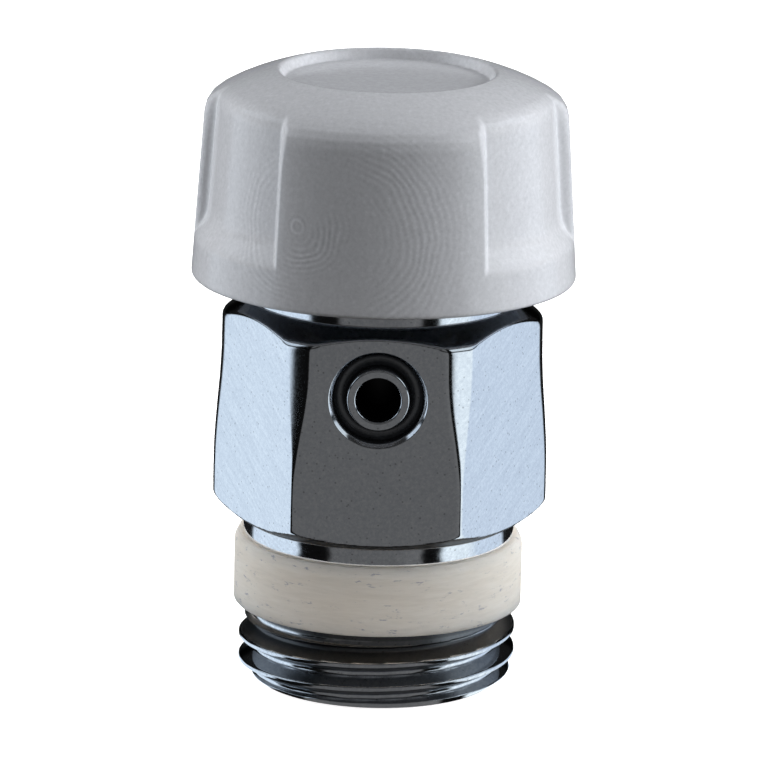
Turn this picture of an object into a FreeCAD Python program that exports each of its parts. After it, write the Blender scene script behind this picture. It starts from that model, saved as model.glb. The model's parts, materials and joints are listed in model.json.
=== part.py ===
import FreeCAD, Part
import math
import os

# Air release valve for a radiator, in millimetres. The axis is Z and the origin is the centre of
# the threaded end, on which the valve stands. The discharge port faces -Y.

# Threaded shank, G 1/2, as a plain shank at the thread's major diameter
thread_major_d = 20.955
thread_run = 6.05
shank_end_d = 18.3
shank_end_chamfer_h = 1.0

# Seal ring on its plain land above the thread
seal_ring_h = 5.25
seal_ring_wall = 1.44
seal_ring_edge_w = 0.3
seal_ring_edge_h = 0.6
seal_land_d = 19.0

# Neck and hexagon
neck_d = 20.5
neck_h = 1.72
hex_across_flats = 22.0
hex_h = 15.9
hex_chamfer_angle = 30.0
corner_top_r = 12.08
corner_bend_r = 12.12
corner_bend_drop = 4.6
corner_middle_r = 12.51
corner_foot_r = 12.75
corner_taper_h = 9.3

# Collar that goes up into the cap
collar_d = 19.9
collar_h = 11.0
collar_edge = 0.5

# Discharge port in the front flat
port_rise = 11.28
port_bore_d = 3.3
port_nozzle_d = 4.7
port_recess_d = 7.35
port_recess_depth = 1.7
port_recess_edge = 0.3

# Bores of the body, from the inlet upwards
check_chamber_d = 13.4
check_chamber_h = 10.4
mouth_chamfer = 0.6
passage_d = 6.0
passage_h = 1.9
seat_lip_d = 8.4
seat_lip_h = 0.6
cartridge_bore_d = 12.8
cartridge_bore_h = 18.5
collar_thread_d = 14.0

# Check valve in the inlet
circlip_z = 1.0
circlip_t = 0.9
circlip_d = 14.3
circlip_inner_d = 10.8
circlip_gap = 4.4
circlip_lug_d = 2.4
circlip_eye_d = 1.0
circlip_play = 0.1
guide_t = 1.4
guide_play = 0.04
guide_rim_w = 1.3
guide_arms = 3
guide_arm_w = 1.6
guide_hub_d = 5.0
guide_hub_drop = 1.3
stem_d = 2.4
stem_play = 0.06
stem_drop = 0.9
poppet_head_d = 8.6
poppet_head_t = 1.4
poppet_nose_d = 5.0
poppet_nose_h = 0.5
poppet_open_gap = 2.6
check_ring_wire_d = 1.3
spring_wire_d = 0.5
spring_d = 6.4
spring_turns = 3.5

# Cartridge that closes when its fibre discs swell
cage_play = 0.5
cage_wall = 1.0
cage_floor_t = 1.2
cage_windows = 4
cage_window_w = 2.6
cage_window_margin = 1.4
floor_holes = 6
floor_hole_d = 1.3
floor_hole_pcd = 4.9
seat_seal_t = 0.8
seat_seal_d = 10.2
seat_seal_inner_d = 6.4
pin_d = 2.0
disc_count = 8
disc_t = 1.0
disc_play = 0.2
disc_hole_d = 2.6
washer_t = 0.7
washer_holes = 6
washer_hole_d = 1.1
washer_hole_pcd = 6.4
lid_t = 1.0
lid_lip_h = 0.9
lid_lip_w = 0.8
lid_lip_play = 0.02

# Swivel between the cartridge and the spindle
tail_d = 3.8
tail_play = 0.1
tail_groove_d = 2.9
tail_end = 0.3
swivel_gap = 0.1
swivel_clip_t = 0.5
swivel_clip_d = 5.4
swivel_clip_slot = 2.2

# Spindle from the cartridge to the cap
piston_h = 4.2
piston_play = 0.06
ring_wire_d = 1.5
ring_groove_w = 1.8
ring_groove_rise = 0.4
ring_play = 0.03
spindle_thread_h = 7.2
spindle_thread_play = 0.07
shoulder_gap = 0.3
spindle_neck_d = 11.2
spindle_head_d = 8.4
spindle_head_h = 3.0
flute_count = 20
flute_d = 0.7

# Cap
cap_gap = 1.73
cap_edge_r = 14.47
cap_shoulder_r = 13.56
cap_shoulder_h = 13.45
cap_h = 15.75
cap_edge_round = 0.3
cap_shoulder_round = 1.9
cap_dome_sag = 0.23
cap_wall = 2.1
cap_roof_t = 1.7
recess_d = 16.2
recess_depth = 0.85
recess_draft = 0.4
recess_lip_round = 0.35
hub_d = 12.4
rib_count = 6
rib_t = 1.1
rib_clear = 0.85

# Finger panels of the cap
panel_count = 3
panel_first_angle = -30.0
panel_half_angle = 26.7
panel_depth = 0.95
panel_wall_lean = 32.0
panel_rise = 3.23
panel_runout_r = 3.8
panel_corner_round = 0.6

# Axis, origin and how far a cutting tool runs past the surface that it cuts
UP = FreeCAD.Vector(0, 0, 1)
ORIGIN = FreeCAD.Vector(0, 0, 0)
CUT_PAST = 1.0
WIRE_SIDES = 8

# Levels and radii worked out from the sizes above
thread_r = thread_major_d / 2
neck_r = neck_d / 2
flat_r = hex_across_flats / 2
collar_r = collar_d / 2
chamfer_slope = math.tan(math.radians(hex_chamfer_angle))
seal_ring_z = thread_run
neck_z = seal_ring_z + seal_ring_h
hex_z = neck_z + neck_h
hex_top_z = hex_z + hex_h
hex_foot_z = hex_z - (flat_r - neck_r) * chamfer_slope
collar_z = hex_top_z + (flat_r - collar_r) * chamfer_slope
collar_top_z = collar_z + collar_h
port_z = hex_z + port_rise

passage_r = passage_d / 2
chamber_r = check_chamber_d / 2
cartridge_bore_r = cartridge_bore_d / 2
collar_thread_r = collar_thread_d / 2
passage_z = check_chamber_h
cartridge_bore_z = passage_z + passage_h
seat_z = cartridge_bore_z + seat_lip_h
cartridge_bore_top_z = cartridge_bore_z + cartridge_bore_h

guide_z = circlip_z + circlip_t
guide_top_z = guide_z + guide_t
poppet_top_z = passage_z - poppet_open_gap
poppet_head_z = poppet_top_z - poppet_head_t
nose_top_z = poppet_top_z + poppet_nose_h

cage_r = cartridge_bore_r - cage_play
cage_inner_r = cage_r - cage_wall
cage_z = seat_z + seat_seal_t
cage_inner_z = cage_z + cage_floor_t
stack_z = cage_inner_z + washer_t
stack_top_z = stack_z + disc_count * disc_t
disc_r = cage_inner_r - disc_play

shoulder_z = cartridge_bore_top_z + shoulder_gap
piston_z = shoulder_z - piston_h
lid_top_z = piston_z - swivel_gap
lid_z = lid_top_z - lid_t
swivel_clip_z = lid_z - swivel_gap - swivel_clip_t
tail_z = swivel_clip_z - tail_end
ring_groove_z = piston_z + ring_groove_rise
spindle_neck_z = shoulder_z + spindle_thread_h

cap_z = collar_z + cap_gap
cap_shoulder_z = cap_z + cap_shoulder_h
cap_top_z = cap_z + cap_h
recess_r = recess_d / 2
recess_floor_z = cap_top_z - recess_depth
cap_roof_z = recess_floor_z - cap_roof_t
spindle_head_z = cap_roof_z - spindle_head_h
cap_slope = (cap_edge_r - cap_shoulder_r) / cap_shoulder_h


def at(r, z):
    """A point of a half section, at radius r and height z."""
    return FreeCAD.Vector(r, 0, z)


def turned(edges):
    """Solid of revolution about Z from the edges of a closed half section."""
    face = Part.Face(Part.Wire(Part.__sortEdges__(edges)))
    return face.revolve(ORIGIN, UP, 360)


def turned_outline(points):
    """Solid of revolution about Z from the corners (radius, height) of a half section."""
    corners = [at(r, z) for r, z in points]
    return turned(Part.makePolygon(corners + corners[:1]).Edges)


def tube(outer_r, inner_r, z, height):
    """Straight ring or, with no inner radius, a straight disc."""
    body = Part.makeCylinder(outer_r, height, at(0, z))
    if inner_r > 0:
        body = body.cut(Part.makeCylinder(inner_r, height, at(0, z)))
    return body


def around(shape, count, first=0.0):
    """Copies of a shape, evenly spaced about Z."""
    copies = []
    for step in range(count):
        copy = shape.copy()
        copy.rotate(ORIGIN, UP, first + 360.0 * step / count)
        copies.append(copy)
    return copies


def round_edges(shape, size, r, z):
    """Rounds the circular edges of the given radius and height."""
    edges = [
        edge
        for edge in shape.Edges
        if isinstance(edge.Curve, Part.Circle)
        and abs(edge.Curve.Radius - r) < 0.01
        and abs(edge.Curve.Center.z - z) < 0.01
    ]
    return shape.makeFillet(size, edges)


def hexagon():
    """Hexagon with both ends chamfered and its corners turned to a slender waist at the top."""
    corner_r = flat_r / math.cos(math.radians(30))
    over_r = corner_r + CUT_PAST
    angles = [math.radians(30 + 60 * step) for step in range(7)]
    rim = [FreeCAD.Vector(corner_r * math.sin(a), corner_r * math.cos(a), hex_foot_z) for a in angles]
    prism = Part.Face(Part.makePolygon(rim)).extrude(UP * (collar_z - hex_foot_z))
    chamfers = turned_outline([
        (0, hex_foot_z),
        (neck_r, hex_foot_z),
        (over_r, hex_z + (over_r - flat_r) * chamfer_slope),
        (over_r, hex_top_z - (over_r - flat_r) * chamfer_slope),
        (collar_r, collar_z),
        (0, collar_z),
    ])
    bend_z = hex_top_z - corner_bend_drop
    foot_z = bend_z - corner_taper_h
    lean = (corner_bend_r - corner_top_r) / corner_bend_drop
    top = at(corner_top_r - lean * CUT_PAST, hex_top_z + CUT_PAST)
    foot = at(corner_foot_r, hex_foot_z - CUT_PAST)
    corners = turned([
        Part.LineSegment(top, at(corner_bend_r, bend_z)).toShape(),
        Part.Arc(
            at(corner_bend_r, bend_z),
            at(corner_middle_r, bend_z - corner_taper_h / 2),
            at(corner_foot_r, foot_z),
        ).toShape(),
        Part.LineSegment(at(corner_foot_r, foot_z), foot).toShape(),
        Part.LineSegment(foot, at(0, foot.z)).toShape(),
        Part.LineSegment(at(0, foot.z), at(0, top.z)).toShape(),
        Part.LineSegment(at(0, top.z), top).toShape(),
    ])
    return prism.common(chamfers).common(corners)


def body_bores():
    """Everything that is bored out of the body along its axis, as one turned tool."""
    groove_r = circlip_d / 2 + circlip_play
    return turned_outline([
        (0, -CUT_PAST),
        (chamber_r + mouth_chamfer, -CUT_PAST),
        (chamber_r + mouth_chamfer, 0),
        (chamber_r, mouth_chamfer),
        (chamber_r, circlip_z),
        (groove_r, circlip_z),
        (groove_r, circlip_z + circlip_t),
        (chamber_r, circlip_z + circlip_t),
        (chamber_r, passage_z),
        (passage_r, passage_z),
        (passage_r, seat_z),
        (seat_lip_d / 2, seat_z),
        (seat_lip_d / 2, cartridge_bore_z),
        (cartridge_bore_r, cartridge_bore_z),
        (cartridge_bore_r, cartridge_bore_top_z),
        (collar_thread_r, cartridge_bore_top_z),
        (collar_thread_r, collar_top_z - collar_edge),
        (collar_thread_r + collar_edge, collar_top_z),
        (collar_thread_r + collar_edge, collar_top_z + CUT_PAST),
        (0, collar_top_z + CUT_PAST),
    ])


def port_tools():
    """Bore of the port and the round-bottomed groove that leaves a nozzle standing in a recess."""
    recess_r = port_recess_d / 2
    nozzle_r = port_nozzle_d / 2
    floor_r = (recess_r - nozzle_r) / 2
    side_z = floor_r - port_recess_depth
    edge_r = recess_r + port_recess_edge
    groove = turned([
        Part.LineSegment(at(nozzle_r, CUT_PAST), at(nozzle_r, side_z)).toShape(),
        Part.Arc(
            at(nozzle_r, side_z),
            at(nozzle_r + floor_r, -port_recess_depth),
            at(recess_r, side_z),
        ).toShape(),
        Part.LineSegment(at(recess_r, side_z), at(recess_r, -port_recess_edge)).toShape(),
        Part.LineSegment(at(recess_r, -port_recess_edge), at(edge_r, 0)).toShape(),
        Part.LineSegment(at(edge_r, 0), at(edge_r, CUT_PAST)).toShape(),
        Part.LineSegment(at(edge_r, CUT_PAST), at(nozzle_r, CUT_PAST)).toShape(),
    ])
    bore = Part.makeCylinder(port_bore_d / 2, flat_r - passage_r, at(0, passage_r - flat_r))
    tools = groove.fuse(bore)
    tools.rotate(ORIGIN, FreeCAD.Vector(1, 0, 0), 90)
    tools.translate(FreeCAD.Vector(0, -flat_r, port_z))
    return tools


def valve_body():
    """Turned and milled body: shank, land, neck, hexagon, collar, bores and port."""
    land_r = seal_land_d / 2
    turned_part = turned_outline([
        (0, 0),
        (shank_end_d / 2, 0),
        (thread_r, shank_end_chamfer_h),
        (thread_r, seal_ring_z),
        (land_r, seal_ring_z),
        (land_r, neck_z),
        (neck_r, neck_z),
        (neck_r, hex_foot_z),
        (collar_r, hex_foot_z),
        (collar_r, collar_top_z - collar_edge),
        (collar_r - collar_edge, collar_top_z),
        (0, collar_top_z),
    ])
    return turned_part.fuse(hexagon()).cut(body_bores()).cut(port_tools()).removeSplitter()


def seal_ring():
    """Ring pressed on the land, with a bevel at its upper edge."""
    inner_r = seal_land_d / 2
    outer_r = inner_r + seal_ring_wall
    return turned_outline([
        (inner_r, seal_ring_z),
        (outer_r, seal_ring_z),
        (outer_r, neck_z - seal_ring_edge_h),
        (outer_r - seal_ring_edge_w, neck_z),
        (inner_r, neck_z),
    ])


def guide_circlip():
    """Inside circlip: an open ring with two lugs and their eyes."""
    inner_r = circlip_inner_d / 2
    ring = tube(circlip_d / 2, inner_r, circlip_z, circlip_t)
    slot = Part.makeBox(circlip_gap, circlip_d, circlip_t, FreeCAD.Vector(-circlip_gap / 2, 0, circlip_z))
    clip = ring.cut(slot)
    lug_x = circlip_gap / 2 + circlip_lug_d / 2 - circlip_play
    lug_y = math.sqrt(inner_r ** 2 - lug_x ** 2)
    for side in (-1, 1):
        centre = FreeCAD.Vector(side * lug_x, lug_y, circlip_z)
        lug = Part.makeCylinder(circlip_lug_d / 2, circlip_t, centre)
        clip = clip.fuse(lug).cut(Part.makeCylinder(circlip_eye_d / 2, circlip_t, centre))
    return clip.common(tube(circlip_d / 2, 0, circlip_z, circlip_t)).removeSplitter()


def check_valve_guide():
    """Rim, arms and a long hub in which the poppet's stem slides."""
    rim_r = chamber_r - guide_play
    guide = tube(rim_r, rim_r - guide_rim_w, guide_z, guide_t)
    arm_length = rim_r - guide_rim_w / 2
    arm = Part.makeBox(arm_length, guide_arm_w, guide_t, FreeCAD.Vector(0, -guide_arm_w / 2, guide_z))
    hub_z = guide_z - guide_hub_drop
    hub = tube(guide_hub_d / 2, 0, hub_z, guide_top_z - hub_z)
    guide = guide.multiFuse(around(arm, guide_arms, 30.0) + [hub])
    bore = Part.makeCylinder(stem_d / 2 + stem_play, guide_top_z - hub_z, at(0, hub_z))
    return guide.cut(bore).removeSplitter()


def check_valve_poppet():
    """Stem, flat head and the nose that the opening pin holds down."""
    stem_r = stem_d / 2
    return turned_outline([
        (0, guide_z - stem_drop),
        (stem_r, guide_z - stem_drop),
        (stem_r, poppet_head_z),
        (poppet_head_d / 2, poppet_head_z),
        (poppet_head_d / 2, poppet_top_z),
        (poppet_nose_d / 2, poppet_top_z),
        (poppet_nose_d / 2, nose_top_z),
        (0, nose_top_z),
    ])


def check_valve_o_ring():
    """O-ring that lies on the head around the nose."""
    wire_r = check_ring_wire_d / 2
    return Part.makeTorus(poppet_nose_d / 2 + wire_r, wire_r, at(0, poppet_top_z + wire_r))


def check_valve_spring():
    """Coil spring between the guide and the poppet's head, its wire eight-sided to keep faces plain."""
    wire_r = spring_wire_d / 2
    coil_r = spring_d / 2 - wire_r
    height = poppet_head_z - guide_top_z - spring_wire_d
    coil = Part.makeHelix(height / spring_turns, height, coil_r)
    corners = []
    for side in range(WIRE_SIDES + 1):
        turn = 2 * math.pi * (side + 0.5) / WIRE_SIDES
        corners.append(at(coil_r + wire_r * math.cos(turn), wire_r * math.sin(turn)))
    spring = Part.Wire(coil.Edges).makePipeShell([Part.makePolygon(corners)], True, True)
    spring.translate(at(0, guide_top_z + wire_r))
    return spring


def seat_seal():
    """Flat seal under the cage, closed on the body's seat lip."""
    return tube(seat_seal_d / 2, seat_seal_inner_d / 2, seat_z, seat_seal_t)


def opening_pin():
    """Pin in the cage's floor that holds the check valve open."""
    return tube(pin_d / 2, 0, nose_top_z, cage_inner_z - nose_top_z)


def cartridge_cage():
    """Cup with air holes in its floor and tall windows in its wall."""
    height = lid_z - cage_z
    cage = tube(cage_r, 0, cage_z, height)
    cage = cage.cut(tube(cage_inner_r, 0, cage_inner_z, height))
    cage = cage.cut(tube(pin_d / 2, 0, cage_z, cage_floor_t))
    hole = Part.makeCylinder(floor_hole_d / 2, cage_floor_t, at(floor_hole_pcd / 2, cage_z))
    window_z = cage_inner_z + cage_window_margin
    window_h = lid_z - lid_lip_h - cage_window_margin - window_z
    corner = FreeCAD.Vector(0, -cage_window_w / 2, window_z)
    window = Part.makeBox(cage_r + CUT_PAST, cage_window_w, window_h, corner)
    return cage.cut(around(hole, floor_holes) + around(window, cage_windows, 45.0))


def pressure_washer(z):
    """Drilled washer under or over the stack of fibre discs."""
    washer = tube(disc_r, disc_hole_d / 2, z, washer_t)
    hole = Part.makeCylinder(washer_hole_d / 2, washer_t, at(washer_hole_pcd / 2, z))
    return washer.cut(around(hole, washer_holes))


def fibre_disc(place):
    """One disc of the stack that swells when water reaches it."""
    return tube(disc_r, disc_hole_d / 2, stack_z + place * disc_t, disc_t)


def cage_lid():
    """Lid that snaps into the cage and turns on the spindle's tail."""
    lip_r = cage_inner_r - lid_lip_play
    lid = tube(cage_r, tail_d / 2 + tail_play, lid_z, lid_t)
    return lid.fuse(tube(lip_r, lip_r - lid_lip_w, lid_z - lid_lip_h, lid_lip_h)).removeSplitter()


def swivel_clip():
    """Open clip in the tail's groove, under the lid."""
    clip = tube(swivel_clip_d / 2, tail_groove_d / 2, swivel_clip_z, swivel_clip_t)
    corner = FreeCAD.Vector(0, -swivel_clip_slot / 2, swivel_clip_z)
    return clip.cut(Part.makeBox(swivel_clip_d, swivel_clip_slot, swivel_clip_t, corner))


def spindle():
    """Tail, piston with its ring groove, screw, neck and the fluted head pressed in the cap."""
    piston_r = cartridge_bore_r - piston_play
    ring_floor_r = cartridge_bore_r - ring_play - ring_wire_d
    screw_r = collar_thread_r - spindle_thread_play
    head_r = spindle_head_d / 2
    screw = turned_outline([
        (0, tail_z),
        (tail_d / 2, tail_z),
        (tail_d / 2, swivel_clip_z),
        (tail_groove_d / 2, swivel_clip_z),
        (tail_groove_d / 2, swivel_clip_z + swivel_clip_t),
        (tail_d / 2, swivel_clip_z + swivel_clip_t),
        (tail_d / 2, piston_z),
        (piston_r, piston_z),
        (piston_r, ring_groove_z),
        (ring_floor_r, ring_groove_z),
        (ring_floor_r, ring_groove_z + ring_groove_w),
        (piston_r, ring_groove_z + ring_groove_w),
        (piston_r, shoulder_z),
        (screw_r, shoulder_z),
        (screw_r, spindle_neck_z),
        (spindle_neck_d / 2, spindle_neck_z),
        (spindle_neck_d / 2, spindle_head_z),
        (head_r, spindle_head_z),
        (head_r, cap_roof_z),
        (0, cap_roof_z),
    ])
    flute = Part.makeCylinder(flute_d / 2, spindle_head_h, at(head_r + flute_d / 4, spindle_head_z))
    return screw.cut(around(flute, flute_count))


def spindle_o_ring():
    """O-ring that seals the spindle in the cartridge bore."""
    wire_r = ring_wire_d / 2
    centre_z = ring_groove_z + ring_groove_w / 2
    return Part.makeTorus(cartridge_bore_r - ring_play - wire_r, wire_r, at(0, centre_z))


def cap_outside():
    """Drafted skirt, rounded shoulder and low dome, with a round recess on top."""
    rim = at(recess_r, cap_top_z)
    shoulder = at(cap_shoulder_r, cap_shoulder_z)
    chord = shoulder - rim
    bulge = FreeCAD.Vector(-chord.z, 0, chord.x).normalize() * cap_dome_sag
    edge = at(cap_edge_r, cap_z)
    outline = [at(0, cap_z), edge]
    skirt = Part.makePolygon(outline + [shoulder]).Edges
    dome = Part.Arc(shoulder, (rim + shoulder) * 0.5 + bulge, rim).toShape()
    recess = Part.makePolygon([
        rim,
        at(recess_r - recess_draft, recess_floor_z),
        at(0, recess_floor_z),
        at(0, cap_z),
    ]).Edges
    cap = turned(skirt + [dome] + recess)
    cap = round_edges(cap, cap_shoulder_round, cap_shoulder_r, cap_shoulder_z)
    cap = round_edges(cap, recess_lip_round, recess_r, cap_top_z)
    return round_edges(cap, cap_edge_round, cap_edge_r, cap_z)


def panel_tool():
    """Cutter of one finger panel: leaning side walls, a floor along the draft, a curved run-out."""
    foot_z = cap_z + panel_rise
    floor_z = foot_z + math.sqrt(panel_depth * (2 * panel_runout_r - panel_depth))
    top_z = cap_top_z + CUT_PAST
    foot_r = cap_edge_r - panel_rise * cap_slope
    floor_r = cap_edge_r - (floor_z - cap_z) * cap_slope - panel_depth
    top_r = cap_edge_r - (top_z - cap_z) * cap_slope - panel_depth
    past_r = cap_edge_r + CUT_PAST
    sweep = math.acos(1 - panel_depth / panel_runout_r) / 2
    bend = at(
        floor_r + panel_runout_r * (1 - math.cos(sweep)),
        floor_z - panel_runout_r * math.sin(sweep),
    )
    ring = turned([
        Part.Arc(at(foot_r, foot_z), bend, at(floor_r, floor_z)).toShape(),
        Part.LineSegment(at(floor_r, floor_z), at(top_r, top_z)).toShape(),
        Part.LineSegment(at(top_r, top_z), at(past_r, top_z)).toShape(),
        Part.LineSegment(at(past_r, top_z), at(past_r, foot_z)).toShape(),
        Part.LineSegment(at(past_r, foot_z), at(foot_r, foot_z)).toShape(),
    ])
    half = math.radians(panel_half_angle)
    wall_x = foot_r * math.cos(half)
    wall_y = foot_r * math.sin(half)
    near_x = wall_x - panel_depth - CUT_PAST * 2
    far_x = past_r + CUT_PAST
    wall_slope = math.tan(half + math.radians(panel_wall_lean))
    near_y = wall_y - (wall_x - near_x) * wall_slope
    far_y = wall_y + (far_x - wall_x) * wall_slope
    wedge = Part.Face(Part.makePolygon([
        FreeCAD.Vector(near_x, -near_y, foot_z),
        FreeCAD.Vector(far_x, -far_y, foot_z),
        FreeCAD.Vector(far_x, far_y, foot_z),
        FreeCAD.Vector(near_x, near_y, foot_z),
        FreeCAD.Vector(near_x, -near_y, foot_z),
    ])).extrude(UP * (top_z - foot_z))
    cutter = ring.common(wedge)
    corner_edges = [
        edge
        for edge in cutter.Edges
        if isinstance(edge.Curve, (Part.Hyperbola, Part.BSplineCurve))
    ]
    return cutter.makeFillet(panel_corner_round, corner_edges)


def cap_shell():
    """Moulded cap: outside, finger panels, hollow, ribs and the hub on the spindle's head."""
    inner_edge_r = cap_edge_r - cap_wall
    inner_roof_r = inner_edge_r - (cap_roof_z - cap_z) * cap_slope
    hollow = turned_outline([
        (0, cap_z),
        (inner_edge_r, cap_z),
        (inner_roof_r, cap_roof_z),
        (0, cap_roof_z),
    ])
    rib_z = collar_top_z + rib_clear
    rib = Part.makeBox(inner_edge_r, rib_t, cap_roof_z - rib_z, FreeCAD.Vector(0, -rib_t / 2, rib_z))
    hub = tube(hub_d / 2, 0, spindle_head_z, spindle_head_h)
    inside = hub.multiFuse(around(rib, rib_count)).common(hollow)
    inside = inside.cut(tube(spindle_neck_d / 2, 0, cap_z, spindle_head_z - cap_z))
    inside = inside.cut(tube(spindle_head_d / 2, 0, spindle_head_z, spindle_head_h))
    shell = cap_outside().cut(around(panel_tool(), panel_count, panel_first_angle)).cut(hollow)
    return shell.fuse(inside).removeSplitter()


parts = {
    "valve_body": valve_body(),
    "ptfe_seal_ring": seal_ring(),
    "guide_circlip": guide_circlip(),
    "check_valve_guide": check_valve_guide(),
    "check_valve_poppet": check_valve_poppet(),
    "check_valve_o_ring": check_valve_o_ring(),
    "check_valve_spring": check_valve_spring(),
    "seat_seal": seat_seal(),
    "opening_pin": opening_pin(),
    "cartridge_cage": cartridge_cage(),
    "lower_pressure_washer": pressure_washer(cage_inner_z),
    "upper_pressure_washer": pressure_washer(stack_top_z),
    "cage_lid": cage_lid(),
    "swivel_clip": swivel_clip(),
    "spindle": spindle(),
    "spindle_o_ring": spindle_o_ring(),
    "cap_shell": cap_shell(),
}
for place in range(disc_count):
    parts[f"fibre_disc_{place + 1}"] = fibre_disc(place)

os.makedirs("parts", exist_ok=True)
for name, shape in parts.items():
    shape.exportStep(f"parts/{name}.step")
    size = shape.BoundBox
    print(f"{name}: solids {len(shape.Solids)}, valid {shape.isValid()}, volume {shape.Volume:.1f},"
          f" z {size.ZMin:.2f} to {size.ZMax:.2f}, x {size.XMin:.2f} to {size.XMax:.2f}")
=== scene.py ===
import json
import math

import bmesh
import bpy
import numpy as np
from mathutils import Matrix, Vector


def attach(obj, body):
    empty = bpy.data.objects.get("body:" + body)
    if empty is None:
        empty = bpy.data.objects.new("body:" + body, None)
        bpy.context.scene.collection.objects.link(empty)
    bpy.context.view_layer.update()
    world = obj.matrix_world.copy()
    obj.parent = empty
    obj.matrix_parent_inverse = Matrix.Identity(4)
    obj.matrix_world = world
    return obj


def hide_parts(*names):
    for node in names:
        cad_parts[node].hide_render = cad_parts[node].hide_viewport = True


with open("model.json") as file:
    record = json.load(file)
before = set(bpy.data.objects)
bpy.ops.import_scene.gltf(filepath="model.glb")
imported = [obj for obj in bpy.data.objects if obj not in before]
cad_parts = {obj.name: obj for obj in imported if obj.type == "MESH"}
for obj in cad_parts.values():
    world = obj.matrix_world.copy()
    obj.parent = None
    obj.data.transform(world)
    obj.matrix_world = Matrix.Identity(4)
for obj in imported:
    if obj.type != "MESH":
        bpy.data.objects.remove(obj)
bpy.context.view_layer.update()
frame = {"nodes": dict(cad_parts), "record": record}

# Everything is in metres. MM turns the millimetres below into them.
MM = 0.001
TURN = 2 * math.pi

# Sizes of the body in millimetres, the same as in the solids, and the thread's form, which is only here
THREAD_R = 10.4775
THREAD_PITCH = 1.814
THREAD_FORM_H = 0.9605 * THREAD_PITCH
THREAD_DEPTH = 0.6403 * THREAD_PITCH
THREAD_ROUND = 0.12
THREAD_START_Z = 2.29
THREAD_RUNOUT = 1.6
THREAD_RUNOUT_H = 0.5
SHANK_END_R = 9.15
SHANK_CHAMFER_H = 1.0
RING_Z = 6.05
RING_TOP_Z = 11.30
LAND_R = 9.5
RING_R = 10.94
RING_EDGE_W = 0.3
RING_EDGE_H = 0.6
NECK_R = 10.25
NECK_ROUND = 0.12
FLAT_R = 11.0
HEX_Z = 13.02
HEX_TOP_Z = 28.92
CHAMFER_SLOPE = math.tan(math.radians(30))
FOOT_CHAMFER_SLOPE = math.tan(math.radians(26))
NECK_TOP_Z = HEX_Z - (FLAT_R - NECK_R) * FOOT_CHAMFER_SLOPE
COLLAR_R = 9.95
COLLAR_Z = HEX_TOP_Z + (FLAT_R - COLLAR_R) * CHAMFER_SLOPE
COLLAR_TOP_Z = COLLAR_Z + 11.0
COLLAR_EDGE = 0.5
PORT_Z = 24.3
PORT_BORE_R = 1.65
NOZZLE_R = 2.35
RECESS_WALL_R = 3.39
RECESS_DEPTH = 1.7
PORT_LIP = 0.3
LIP_ROUND = 0.1
NOZZLE_EDGE = 0.2
PORT_BORE_END = 4.2
CHAMBER_R = 6.7
PASSAGE_R = 3.0
PASSAGE_Z = 10.4
SEAT_Z = 12.9
SEAT_LIP_R = 4.2
CARTRIDGE_Z = 12.3
CARTRIDGE_R = 6.4
CARTRIDGE_TOP_Z = 30.8
COLLAR_BORE_R = 7.0
CIRCLIP_Z = 1.0
CIRCLIP_TOP_Z = 1.9
CIRCLIP_GROOVE_R = 7.25
MOUTH_CHAMFER = 0.6

# Sizes of the cap in millimetres
CAP_Z = 31.256
CAP_EDGE_R = 14.47
CAP_SHOULDER_R = 13.56
CAP_SHOULDER_H = 13.45
CAP_SHOULDER_Z = CAP_Z + CAP_SHOULDER_H
CAP_TOP_Z = CAP_Z + 15.75
CAP_WALL = 2.1
CAP_SLOPE = (CAP_EDGE_R - CAP_SHOULDER_R) / CAP_SHOULDER_H
RECESS_LIP_R = 8.1
DOME_SAG = 0.23
RECESS_FLOOR_Z = CAP_TOP_Z - 0.85
RECESS_DRAFT = 0.4
CAP_ROOF_Z = RECESS_FLOOR_Z - 1.7
HUB_R = 6.2
HUB_BORE_R = 4.2
HUB_Z = CAP_ROOF_Z - 3.0
HUB_ROOF_Z = HUB_Z + 2.2
PANEL_HALF = math.radians(26.7)
PANEL_DEPTH = 0.95
PANEL_LEAN = math.tan(math.radians(32))
PANEL_FOOT_Z = CAP_Z + 3.23
PANEL_RUNOUT_R = 3.8

# Painted shade on the chrome, from 0 for the full bright plate to 1 for nearly black: darkening that
# stands in for shade and dark reflections in the bores, the port's groove, the undercut, on the thread's
# lower flanks and under the ring
SHADE_IN_BORES = 0.97
SHADE_IN_GROOVE = 0.68
SHADE_IN_UNDERCUT = 0.95
SHADE_ON_LOWER_FLANKS = 0.75
SHADE_UNDER_RING = 0.85

# The polishing belt's run across the left flat, and the middle of the gate mark on the cap, in mm
BELT_RUN = (-0.424, -0.734, -0.53)
GATE_MARK = (-6.1, -12.6, 37.7)


def srgb(code):
    """Linear colour of an sRGB hex code."""
    values = [int(code[i:i + 2], 16) / 255 for i in (1, 3, 5)]
    linear = [v / 12.92 if v <= 0.04045 else ((v + 0.055) / 1.055) ** 2.4 for v in values]
    return (*linear, 1.0)


def add_node(tree, kind, settings=None, **links):
    """Adds a node, sets its properties and values, and links the sockets given by name."""
    node = tree.nodes.new(kind)
    for key, value in (settings or {}).items():
        if isinstance(key, int) or key in node.inputs:
            node.inputs[key].default_value = value
        else:
            setattr(node, key, value)
    for key, source in links.items():
        name = int(key[1:]) if key[0] == "i" and key[1:].isdigit() else key.replace("_", " ")
        tree.links.new(source, node.inputs[name])
    return node


def bare_material(name):
    """A material with only its output node: the material, its tree and that node."""
    material = bpy.data.materials.new(name)
    material.use_nodes = True
    tree = material.node_tree
    tree.nodes.clear()
    return material, tree, add_node(tree, "ShaderNodeOutputMaterial")


def new_material(name):
    """A material with a Principled shader: the material, its tree and the shader."""
    material, tree, output = bare_material(name)
    shader = add_node(tree, "ShaderNodeBsdfPrincipled")
    tree.links.new(shader.outputs["BSDF"], output.inputs["Surface"])
    return material, tree, shader


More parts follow.
